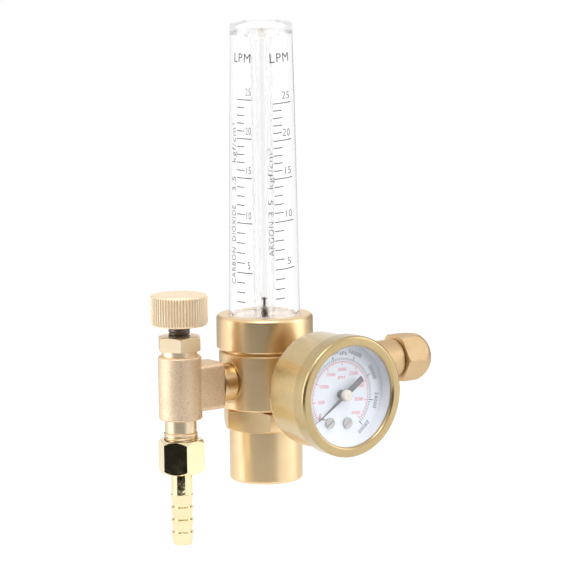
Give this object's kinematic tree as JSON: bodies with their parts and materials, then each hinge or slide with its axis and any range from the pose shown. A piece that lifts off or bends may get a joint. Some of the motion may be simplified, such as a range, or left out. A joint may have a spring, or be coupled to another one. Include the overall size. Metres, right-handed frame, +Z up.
{
  "type": "argon flowmeter regulator",
  "caption": "Brass gas regulator with a dial gauge, a clear flow tube, a needle valve with a knurled knob, a hose tail and a domed inlet nut.",
  "frame": {"origin": "centre of the inlet nut mouth, on the port axis", "axes": "+X out of the inlet mouth along the port axis, +Z up along the flow tube, the gauge faces -Y"},
  "size_m": [0.122, 0.0705, 0.1883],
  "materials": {
    "satin_brass": "satin, turned",
    "forged_brass": "matt, forged and blasted",
    "polished_brass": "mirror polished",
    "lacquered_brass": "gloss gold lacquer",
    "dark_steel": "dark, turned",
    "spring_steel": "drawn wire",
    "clear_plastic": "clear, moulded",
    "lens_clear": "clear, flat",
    "rubber": "matt",
    "nylon": "matt",
    "dial_white": "matt enamel",
    "pointer_grey": "satin",
    "hub_cream": "satin",
    "spacer_grey": "satin",
    "sintered_bronze": "porous"
  },
  "bodies": {
    "regulator": {"body": "satin_brass", "bonnet": "satin_brass", "preset_screw": "dark_steel", "spring_seat": "dark_steel", "range_spring": "spring_steel", "diaphragm": "rubber", "poppet_plug": "satin_brass", "poppet_spring": "spring_steel", "tube_collar": "satin_brass", "cover_seal": "rubber", "tube_cover": "clear_plastic", "tube_seat": "satin_brass", "tube_seal": "rubber", "metering_tube": "clear_plastic", "float_stop": "dark_steel", "gauge_case": "lacquered_brass", "bezel": "lacquered_brass", "lens": "lens_clear", "spacer_ring": "spacer_grey", "dial": "dial_white", "dial_screws": "spring_steel", "stop_pin": "spring_steel", "gauge_socket": "satin_brass", "bourdon_tube": "satin_brass", "movement_frame": "satin_brass", "tip_block": "satin_brass", "link": "spring_steel", "valve_body": "forged_brass", "outlet_nipple": "satin_brass", "packing": "nylon", "gland_nut": "satin_brass", "outlet_adapter": "polished_brass", "tail_washer": "nylon", "union_nut": "polished_brass", "hose_tail": "polished_brass", "inlet_stem": "satin_brass", "inlet_filter": "sintered_bronze", "inlet_nipple": "satin_brass", "inlet_washer": "nylon"},
    "poppet_group": {"poppet": "satin_brass", "diaphragm_plate": "satin_brass"},
    "float": {"flow_float": "dark_steel"},
    "pointer_group": {"pointer": "pointer_grey", "pointer_hub": "hub_cream", "arbor": "spring_steel"},
    "sector": {"sector_gear": "satin_brass"},
    "stem": {"valve_stem": "dark_steel"},
    "knob": {"knob": "satin_brass"},
    "inlet_nut": {"inlet_nut": "satin_brass"}
  },
  "joints": [
    {"name": "float_rise", "type": "slide", "parent": "regulator", "child": "float", "axis": [0, 0, 1], "range_m": [0, 0.09]},
    {"name": "needle_travel", "type": "slide", "parent": "regulator", "child": "stem", "axis": [0, 0, 1], "range_m": [0, 0.00375]},
    {"name": "knob_turn", "type": "hinge", "parent": "stem", "child": "knob", "pos_m": [-0.1116, 0, 0.0287], "axis": [0, 0, 1], "range_deg": [0, 1080.1]},
    {"name": "pointer_sweep", "type": "hinge", "parent": "regulator", "child": "pointer_group", "pos_m": [-0.0738, -0.047, 0], "axis": [0, 1, 0], "range_deg": [0, 270]},
    {"name": "sector_swing", "type": "hinge", "parent": "regulator", "child": "sector", "pos_m": [-0.08058, -0.04, 0.00071], "axis": [0, 1, 0], "range_deg": [-53.04, 0]},
    {"name": "inlet_nut_spin", "type": "hinge", "parent": "regulator", "child": "inlet_nut", "pos_m": [-0.005, 0, 0], "axis": [1, 0, 0], "continuous": true},
    {"name": "poppet_travel", "type": "slide", "parent": "regulator", "child": "poppet_group", "axis": [0, 0, -1], "range_m": [0, 0.0008], "stiffness_N_per_m": 2000, "deforming": ["range_spring", "poppet_spring", "diaphragm"]}
  ],
  "couplings": [
    {"joint": "knob_turn", "follows": "needle_travel", "rad_per_m": 5026.5},
    {"joint": "sector_swing", "follows": "pointer_sweep", "ratio": -0.19608}
  ]
}
